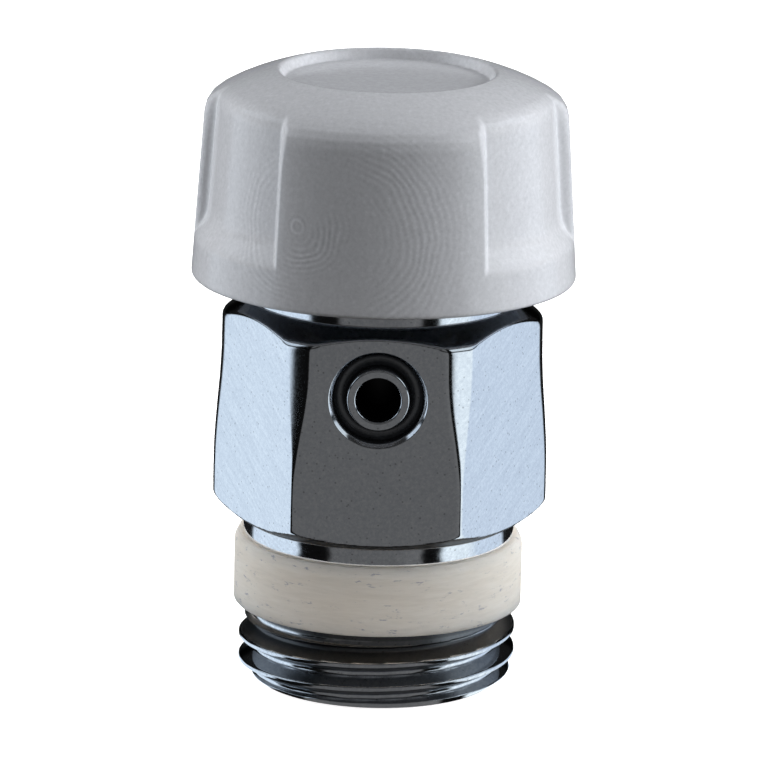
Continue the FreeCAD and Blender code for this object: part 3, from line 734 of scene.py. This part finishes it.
def valve_body():
    """The whole chromed body as one closed skin, with the helical thread, the hexagon and the port.
    The skin is a grid of column angle by profile row, closed both ways; the port's patch joins a
    window in the front flat to a window in the bore behind it."""
    angles = hex_angles()
    count = len(angles)
    parts = body_profile()
    starts = dict(zip(parts, np.cumsum([0] + [len(part) for part in parts.values()])))
    profile = np.concatenate(list(parts.values()))
    radius = np.repeat(profile[:, :1], count, 1)
    height = np.repeat(profile[:, 1:], count, 1)
    rows = slice(starts["thread"], starts["land"])
    radius[rows] = shank_radius(angles, height[rows])
    rows = slice(starts["hex_low"], starts["collar"])
    radius[rows] = hexagon_radius(angles, height[rows])
    skin = np.stack([radius * np.cos(angles), radius * np.sin(angles), height], 2).reshape(-1, 3)

    offsets = (angles + math.radians(90) + math.pi) % TURN - math.pi
    window = np.where(np.abs(offsets) <= FLAT_WINDOW)[0]
    window = window[np.argsort(offsets[window])]
    flat_rows = starts["hex_port"], starts["hex_high"] - 1
    bore_rows = starts["bore_port"], starts["bore_low"] - 1
    keep = np.ones((len(profile), count), bool)
    for first_row, last_row in (flat_rows, bore_rows):
        keep[np.ix_(np.arange(first_row, last_row), window[:-1])] = False
    outer_rim = window_rim(*flat_rows, window, count)
    inner_rim = window_rim(*bore_rows[::-1], window, count)

    patch = port_patch(skin[outer_rim], skin[inner_rim])
    rings, around = patch.shape[:2]
    here = np.arange(around)
    after = (here + 1) % around
    first = len(skin)
    last = first + (rings - 1) * around
    points = np.concatenate([skin, patch.reshape(-1, 3)])
    faces = np.concatenate([
        grid_faces(len(profile), count, wrap_rows=True, wrap_columns=True, keep=keep),
        grid_faces(rings, around, wrap_columns=True) + first,
        np.stack([outer_rim, outer_rim[after], first + after, first + here], 1),
        np.stack([last + here, last + after, inner_rim[after], inner_rim], 1),
    ])
    body = mesh_object("chromed_body", points, faces, CHROME)

    # The thread's points get the normals of its worked-out form, which is finer than the rows
    normals = np.empty(points.size)
    body.data.vertices.foreach_get("normal", normals)
    normals = normals.reshape(-1, 3)
    on_thread = slice((starts["thread"] + 1) * count, (starts["land"] - 1) * count)
    x, y, z = points[on_thread].T
    normals[on_thread] = shank_normals(np.arctan2(y, x), z)
    body.data.normals_split_custom_set_from_vertices(normals.tolist())
    # Painted shade for the chrome's material, point by point
    painted_dark = body.data.attributes.new("painted_shade", "FLOAT", "POINT")
    painted_dark.data.foreach_set("value", painted_shade(points).astype(np.float32))
    return body


def cap_angles():
    """Column angles round the cap: three equal sectors of 120 columns, which are 7 times as close
    across the panels' side walls."""
    half_lobe = 60 - math.degrees(PANEL_HALF)

    def density(t):
        place = np.abs(2 * t - 1) * 60
        return 1.0 + 6.0 * (np.abs(place - half_lobe - 0.5) < 3.5)

    sector = spread(density, 120) * math.radians(120) - math.radians(60)
    return (sector[None, :] + math.radians(-90) + np.arange(3)[:, None] * math.radians(120)).ravel()


# Rounding of the panels: at the foot of the side walls, at the run-out, at the lobes' edges, and how
# much softer those edges get over the shoulder
WALL_FOOT_ROUND = 0.45
RUNOUT_ROUND = 0.25
LOBE_EDGE = 0.42
LOBE_EDGE_MORE = 0.7
SHOULDER_REACH = 4.0


def panel_radius(angle, z):
    """Radius of the panels' cutters: outside the cap on the lobes, and a panel's depth inside its
    draft line between the leaning side walls, with the curved run-out at the foot."""
    from_lobe = (angle + math.radians(90) + math.radians(60)) % math.radians(120) - math.radians(60)
    line = CAP_EDGE_R - (z - CAP_Z) * CAP_SLOPE
    from_centre = math.radians(60) - np.abs(from_lobe)
    past_edge = (PANEL_HALF - from_centre) * line
    depth = softmin(past_edge / PANEL_LEAN, np.full_like(past_edge, PANEL_DEPTH), WALL_FOOT_ROUND)
    run_top = PANEL_FOOT_Z + math.sqrt(PANEL_DEPTH * (2 * PANEL_RUNOUT_R - PANEL_DEPTH))
    below = np.clip(run_top - z, 0, PANEL_RUNOUT_R * 0.98)
    lift = PANEL_RUNOUT_R - np.sqrt(PANEL_RUNOUT_R ** 2 - below ** 2)
    return line - softmin(depth, PANEL_DEPTH - lift, RUNOUT_ROUND)


def cap_profile():
    """Closed profile of the cap from corners with their rounding radii: up the skirt, over the dome,
    which is a parabola, into the recess, out again under the roof, round the spindle's hub and down
    the inside of the skirt."""
    shoulder = np.array([CAP_SHOULDER_R, CAP_SHOULDER_Z])
    rim = np.array([RECESS_LIP_R, CAP_TOP_Z])
    chord = rim - shoulder
    across = np.array([chord[1], -chord[0]]) / np.linalg.norm(chord)
    dome = [
        shoulder + chord * t + across * 4 * DOME_SAG * t * (1 - t) for t in (0.34, 0.5, 0.66, 0.82)]
    inner_r = CAP_EDGE_R - CAP_WALL
    inner_roof_r = inner_r - (CAP_ROOF_Z - CAP_Z) * CAP_SLOPE
    floor_r = RECESS_LIP_R - RECESS_DRAFT
    corners = [
        ([CAP_EDGE_R, CAP_Z], 0.3),
        (shoulder, 1.9),
        *((point, 3.0) for point in dome),
        (rim, 0.35),
        ([floor_r, RECESS_FLOOR_Z], 0.2),
        ([0, RECESS_FLOOR_Z], 0),
        ([0, HUB_ROOF_Z], 0),
        ([HUB_BORE_R, HUB_ROOF_Z], 0.1),
        ([HUB_BORE_R, HUB_Z], 0.2),
        ([HUB_R, HUB_Z], 0.2),
        ([HUB_R, CAP_ROOF_Z], 0.4),
        ([inner_roof_r, CAP_ROOF_Z], 0.6),
        ([inner_r, CAP_Z], 0.3),
    ]
    return rounded([c for c, _ in corners], [r for _, r in corners])


def finer(profile, step):
    """Closed profile with points added so that none of its stretches is longer than the step that a
    function of the stretch's ends gives."""
    out = []
    for start, end in zip(profile, np.roll(profile, -1, 0)):
        count = max(1, int(np.ceil(np.linalg.norm(end - start) / step(start, end))))
        out.append(stretch(start, end, count))
    return np.concatenate(out)


def cap_shell():
    """The moulded cap as one closed skin, column angle by profile row: the smaller of the turned
    profile's radius and the panels' cutters, rounded where they meet. The rows run from the middle
    under the roof, round the skirt, to the middle of the recess's floor, and both middles are welded."""
    def step(start, end):
        """Rows 0.2 mm apart outside the skirt and the shoulder, where the panels are cut, else 1.2."""
        outside = min(start[0], end[0]) > CAP_SHOULDER_R - 3 and min(start[1], end[1]) > CAP_Z - 0.01
        inside = max(start[0], end[0]) < CAP_EDGE_R - CAP_WALL + 0.4
        return 0.2 if outside and not inside else 1.2

    profile = finer(cap_profile(), step)
    floor_middle = np.where((profile[:, 0] == 0) & (profile[:, 1] == RECESS_FLOOR_Z))[0][0]
    hub_middle = np.where((profile[:, 0] == 0) & (profile[:, 1] == HUB_ROOF_Z))[0][0]
    profile = np.concatenate([profile[hub_middle:], profile[:floor_middle + 1]])
    angle = cap_angles()[None, :]
    radius = np.repeat(profile[:, :1], angle.shape[1], 1)
    height = np.repeat(profile[:, 1:], angle.shape[1], 1)
    # The rows of the outside that the panels' cutters reach
    outer = profile[:, 0] > CAP_SHOULDER_R - 2.6
    outer &= profile[:, 0] > CAP_EDGE_R - CAP_WALL + 0.3 - (profile[:, 1] - CAP_Z) * CAP_SLOPE
    cut = panel_radius(angle, height[outer])
    high = np.clip((height[outer] - CAP_SHOULDER_Z + SHOULDER_REACH) / SHOULDER_REACH, 0, 1)
    softness = LOBE_EDGE + LOBE_EDGE_MORE * high ** 2
    radius[outer] = softmin(radius[outer], cut, softness)
    grid = np.stack([radius * np.cos(angle), radius * np.sin(angle), height], 2)
    faces = grid_faces(len(profile), angle.shape[1], wrap_columns=True)
    return mesh_object("grip_cap", grid.reshape(-1, 3), faces, CAP_PLASTIC, weld=True)


def seal_ring():
    """The PTFE ring, turned: a closed profile with a worn bevel at its top, whose outside waves by
    some hundredths of a millimetre from wear."""
    outer, inner = RING_R, LAND_R
    profile = rounded(
        [[inner, RING_Z], [outer, RING_Z], [outer, RING_TOP_Z - RING_EDGE_H],
         [outer - RING_EDGE_W, RING_TOP_Z], [inner, RING_TOP_Z]],
        [0.05, 0.15, 0.8, 0.15, 0.05])
    profile = finer(profile, lambda start, end: 0.25)
    columns = 240
    wear_depth, long_wave, short_wave = 0.02, 0.012, 0.008
    angle = np.arange(columns) / columns * TURN
    radius = np.repeat(profile[:, :1], columns, 1)
    height = np.repeat(profile[:, 1:], columns, 1)
    skin = profile[:, 0] > outer - 0.6
    wear = long_wave * np.sin(3 * angle + 1) + short_wave * np.sin(11 * angle) * np.sin(5 * angle)
    radius[skin] += wear - wear_depth
    grid = np.stack([radius * np.cos(angle), radius * np.sin(angle), height], 2)
    faces = grid_faces(len(profile), columns, wrap_rows=True, wrap_columns=True)
    return mesh_object("worn_seal_ring", grid.reshape(-1, 3), faces, PTFE)


# The photograph's view, found by fitting the object's own edges
CAMERA_ELEVATION = math.radians(14.4785)
CAMERA_AZIMUTH = math.radians(1.1)
CAMERA_DISTANCE = 499.8
LOOK_Z = 22.645
CAMERA_ROLL = math.radians(1.1639)
CAMERA_LENS = 310.39
AIM_RIGHT, AIM_UP = 0.0004, 0.0002
SENSOR_WIDTH = 36


def set_camera():
    """The camera of the photograph, far back with a long lens, leaning a little to the right."""
    sin_e, cos_e = math.sin(CAMERA_ELEVATION), math.cos(CAMERA_ELEVATION)
    sin_a, cos_a = math.sin(CAMERA_AZIMUTH), math.cos(CAMERA_AZIMUTH)
    place = Vector((
        CAMERA_DISTANCE * cos_e * sin_a, -CAMERA_DISTANCE * cos_e * cos_a,
        LOOK_Z + CAMERA_DISTANCE * sin_e))
    right = Vector((cos_a, sin_a, 0))
    forward = Vector((-cos_e * sin_a, cos_e * cos_a, -sin_e))
    up = right.cross(forward)
    forward = (forward + AIM_RIGHT * right + AIM_UP * up).normalized()
    right = forward.cross(up).normalized()
    up = right.cross(forward)
    tilted_right = right * math.cos(CAMERA_ROLL) + up * math.sin(CAMERA_ROLL)
    tilted_up = up * math.cos(CAMERA_ROLL) - right * math.sin(CAMERA_ROLL)
    camera = bpy.data.cameras.new("view_of_the_photograph")
    camera.lens = CAMERA_LENS
    camera.sensor_width = SENSOR_WIDTH
    camera.clip_start, camera.clip_end = 0.01, 20
    holder = bpy.data.objects.new(camera.name, camera)
    bpy.context.scene.collection.objects.link(holder)
    turn = Matrix((tilted_right, tilted_up, -forward)).transposed().to_4x4()
    holder.matrix_world = Matrix.Translation(place * MM) @ turn
    bpy.context.scene.camera = holder


def area_light(name, azimuth, distance, width, height, foot, radiance, colour):
    """A soft box that stands beside the object and faces it, in mm: azimuth in degrees from the
    camera's side and rising to the right."""
    light = bpy.data.lights.new(name, "AREA")
    light.shape = "RECTANGLE"
    light.size, light.size_y = width * MM, height * MM
    light.energy = radiance * math.pi * light.size * light.size_y
    light.color = colour
    holder = bpy.data.objects.new(name, light)
    bpy.context.scene.collection.objects.link(holder)
    angle = math.radians(azimuth)
    place = Vector((math.sin(angle), -math.cos(angle), 0)) * distance * MM
    place.z = (foot + height / 2) * MM
    holder.location = place
    holder.rotation_euler = (-place).to_track_quat("-Z", "Y").to_euler()
    holder.visible_glossy = False


def wheel_of_tones(tree, stops):
    """Colour by azimuth round the object, 0 at the camera's side and rising to the right, from a
    list of (degrees, grey or colour); neighbouring stops are blended over the degrees between."""
    source = add_node(tree, "ShaderNodeTexCoord")
    split = add_node(tree, "ShaderNodeSeparateXYZ", i0=source.outputs["Object"])
    back = add_node(tree, "ShaderNodeMath", {"operation": "MULTIPLY", 1: -1.0}, i0=split.outputs["Y"])
    angle = add_node(
        tree, "ShaderNodeMath", {"operation": "ARCTAN2"}, i0=split.outputs["X"], i1=back.outputs["Value"])
    place = add_node(
        tree, "ShaderNodeMapRange", {"From Min": -math.pi, "From Max": math.pi},
        Value=angle.outputs["Value"])
    turned = [((degrees + 180) / 360, tone) for degrees, tone in stops]
    return ramp(tree, place.outputs["Result"], turned).outputs["Color"]


# The studio as reflections see it: tones by azimuth in degrees, 0 at the camera's side and rising to
# the right, and how bright the tent is by the sine of the height. Between its low and its high lit
# band lies a dark one, which draws the black lines along chromed edges, and the ceiling is dim.
PALE_BLUE = (0.72, 0.83, 0.94)
RIGHT_BLUE = (0.64, 0.74, 0.86)
EDGE_BLUE = (0.86, 0.95, 1.0)
STUDIO_TONES = [
    (-180, 0.01), (-125, 0.01), (-120, PALE_BLUE), (-65, PALE_BLUE), (-61, 0.004), (-37, 0.004),
    (-34, 0.115), (12, 0.115), (33, 0.145), (36, 0.004), (49, 0.004), (53, EDGE_BLUE), (76, EDGE_BLUE),
    (86, RIGHT_BLUE), (120, RIGHT_BLUE), (125, 0.01), (180, 0.01),
]
TENT_LEVELS = [
    (0.0, 1.0), (0.05, 1.0), (0.13, 0.05), (0.24, 0.05), (0.3, 0.8), (0.62, 0.8), (0.68, 0.024),
    (1.0, 0.024),
]
STUDIO_STRENGTH = 1.15
COOL_WHITE = (0.97, 0.985, 1.0)
WARM_WHITE = (1.0, 0.94, 0.88)


def studio_tent():
    """Half a dome round the object that only reflections see: the floor's tones at the brightness of
    each height, and plain white at its dim level overhead."""
    rows, columns, radius = 24, 96, 2.2
    rise = np.linspace(-0.001, math.pi / 2 - 0.001, rows)[:, None]
    angle = (np.arange(columns) / columns * TURN)[None, :]
    grid = np.stack(
        [radius * np.cos(rise) * np.cos(angle), radius * np.cos(rise) * np.sin(angle),
         radius * np.sin(rise) + 0 * angle], 2)
    faces = grid_faces(rows, columns, wrap_columns=True)
    material, tree, output = bare_material("soft_box_tent")
    source = add_node(tree, "ShaderNodeTexCoord")
    split = add_node(tree, "ShaderNodeSeparateXYZ", i0=source.outputs["Object"])
    sine = add_node(tree, "ShaderNodeMath", {"operation": "DIVIDE", 1: radius}, i0=split.outputs["Z"])
    level = ramp(tree, sine.outputs["Value"], TENT_LEVELS)
    lifted = add_node(
        tree, "ShaderNodeMath", {"operation": "MULTIPLY", 1: STUDIO_STRENGTH}, i0=level.outputs["Color"])
    glow = add_node(tree, "ShaderNodeEmission", Strength=lifted.outputs["Value"])
    overhead = ramp(tree, sine.outputs["Value"], [(0.64, 0.0), (0.7, 1.0)])
    colour = add_node(
        tree, "ShaderNodeMix", {"data_type": "RGBA", 7: (1, 1, 1, 1)},
        i0=overhead.outputs["Color"], i6=wheel_of_tones(tree, STUDIO_TONES))
    tree.links.new(colour.outputs[2], glow.inputs["Color"])
    tree.links.new(glow.outputs["Emission"], output.inputs["Surface"])
    tent = mesh_object("soft_box_tent", grid.reshape(-1, 3) / MM, faces, material)
    tent.visible_camera = False
    tent.visible_diffuse = False
    tent.visible_transmission = False
    tent.visible_shadow = False


def studio_sheet(name, z):
    """A level square sheet of the studio at a height in mm, with its material's tree and output."""
    half = 2500
    corners = [(-half, -half, z), (half, -half, z), (half, half, z), (-half, half, z)]
    material, tree, output = bare_material(name)
    return mesh_object(name, corners, [(0, 1, 2, 3)], material), tree, output


def studio_floor():
    """A white sheet for the camera that only shows the contact shadow, and just beneath it a sheet
    that only reflections see, toned like the tent round the object."""
    floor, tree, output = studio_sheet("white_sheet", 0)
    diffuse = add_node(tree, "ShaderNodeBsdfDiffuse", {"Color": srgb("#EDEDED")})
    source = add_node(tree, "ShaderNodeTexCoord")
    away = add_node(tree, "ShaderNodeVectorMath", {"operation": "LENGTH"}, i0=source.outputs["Object"])
    # White without any light from 0.35 m outwards, so that the sheet has no edge against the backdrop
    lit = add_node(
        tree, "ShaderNodeMapRange", {"From Min": 0.1, "From Max": 0.35, "To Min": 0.72, "To Max": 1.0},
        Value=away.outputs["Value"])
    glow = add_node(
        tree, "ShaderNodeEmission", {"Color": (1, 1, 1, 1)}, Strength=lit.outputs["Result"])
    both = add_node(tree, "ShaderNodeAddShader", i0=diffuse.outputs["BSDF"], i1=glow.outputs["Emission"])
    tree.links.new(both.outputs["Shader"], output.inputs["Surface"])
    floor.visible_glossy = False
    floor.visible_diffuse = False

    card, tree, output = studio_sheet("toned_sheet", -0.3)
    path = add_node(tree, "ShaderNodeLightPath")
    dimmed = add_node(
        tree, "ShaderNodeMapRange", {"To Min": STUDIO_STRENGTH, "To Max": 0.15},
        Value=path.outputs["Is Diffuse Ray"])
    glow = add_node(tree, "ShaderNodeEmission", Strength=dimmed.outputs["Result"])
    tree.links.new(wheel_of_tones(tree, STUDIO_TONES), glow.inputs["Color"])
    tree.links.new(glow.outputs["Emission"], output.inputs["Surface"])
    card.visible_camera = False
    card.visible_shadow = False
    card.visible_transmission = False


def studio_world():
    """White for the camera and in reflections, and a dim even fill for everything else."""
    world = bpy.data.worlds.new("tent")
    world.use_nodes = True
    tree = world.node_tree
    tree.nodes.clear()
    path = add_node(tree, "ShaderNodeLightPath")
    seen = add_node(
        tree, "ShaderNodeMath", {"operation": "MAXIMUM"},
        i0=path.outputs["Is Camera Ray"], i1=path.outputs["Is Glossy Ray"])
    clear = add_node(
        tree, "ShaderNodeMath", {"operation": "MAXIMUM"},
        i0=seen.outputs["Value"], i1=path.outputs["Is Transmission Ray"])
    strength = add_node(
        tree, "ShaderNodeMapRange", {"To Min": 0.012, "To Max": 1.0}, Value=clear.outputs["Value"])
    background = add_node(
        tree, "ShaderNodeBackground", {"Color": (1, 1, 1, 1)}, Strength=strength.outputs["Result"])
    output = add_node(tree, "ShaderNodeOutputWorld")
    tree.links.new(background.outputs["Background"], output.inputs["Surface"])
    bpy.context.scene.world = world


SLOTS = {part["node"]: part["material_slot"] for part in frame["record"]["subparts"]}


def build():
    """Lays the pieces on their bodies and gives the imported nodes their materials."""
    for piece, node, body in (
            (valve_body(), "valve_body", "valve"),
            (seal_ring(), "ptfe_seal_ring", "valve"),
            (cap_shell(), "cap_shell", "cap")):
        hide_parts(node)
        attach(piece, body)
    for name, node in frame["nodes"].items():
        for place in range(max(1, len(node.material_slots))):
            if not node.material_slots:
                node.data.materials.append(FINISHES[SLOTS[name]])
            node.material_slots[place].link = "OBJECT"
            node.material_slots[place].material = FINISHES[SLOTS[name]]


build()
studio_floor()
studio_tent()
studio_world()
set_camera()
area_light(
    "left_soft_box", azimuth=-103, distance=300, width=420, height=270, foot=5, radiance=4.9,
    colour=COOL_WHITE)
area_light(
    "table_bounce", azimuth=-3, distance=27, width=50, height=5, foot=0.5, radiance=4.6,
    colour=WARM_WHITE)
area_light(
    "right_soft_box", azimuth=90, distance=300, width=480, height=270, foot=20, radiance=6.0,
    colour=COOL_WHITE)
bpy.context.scene.view_settings.view_transform = "Standard"
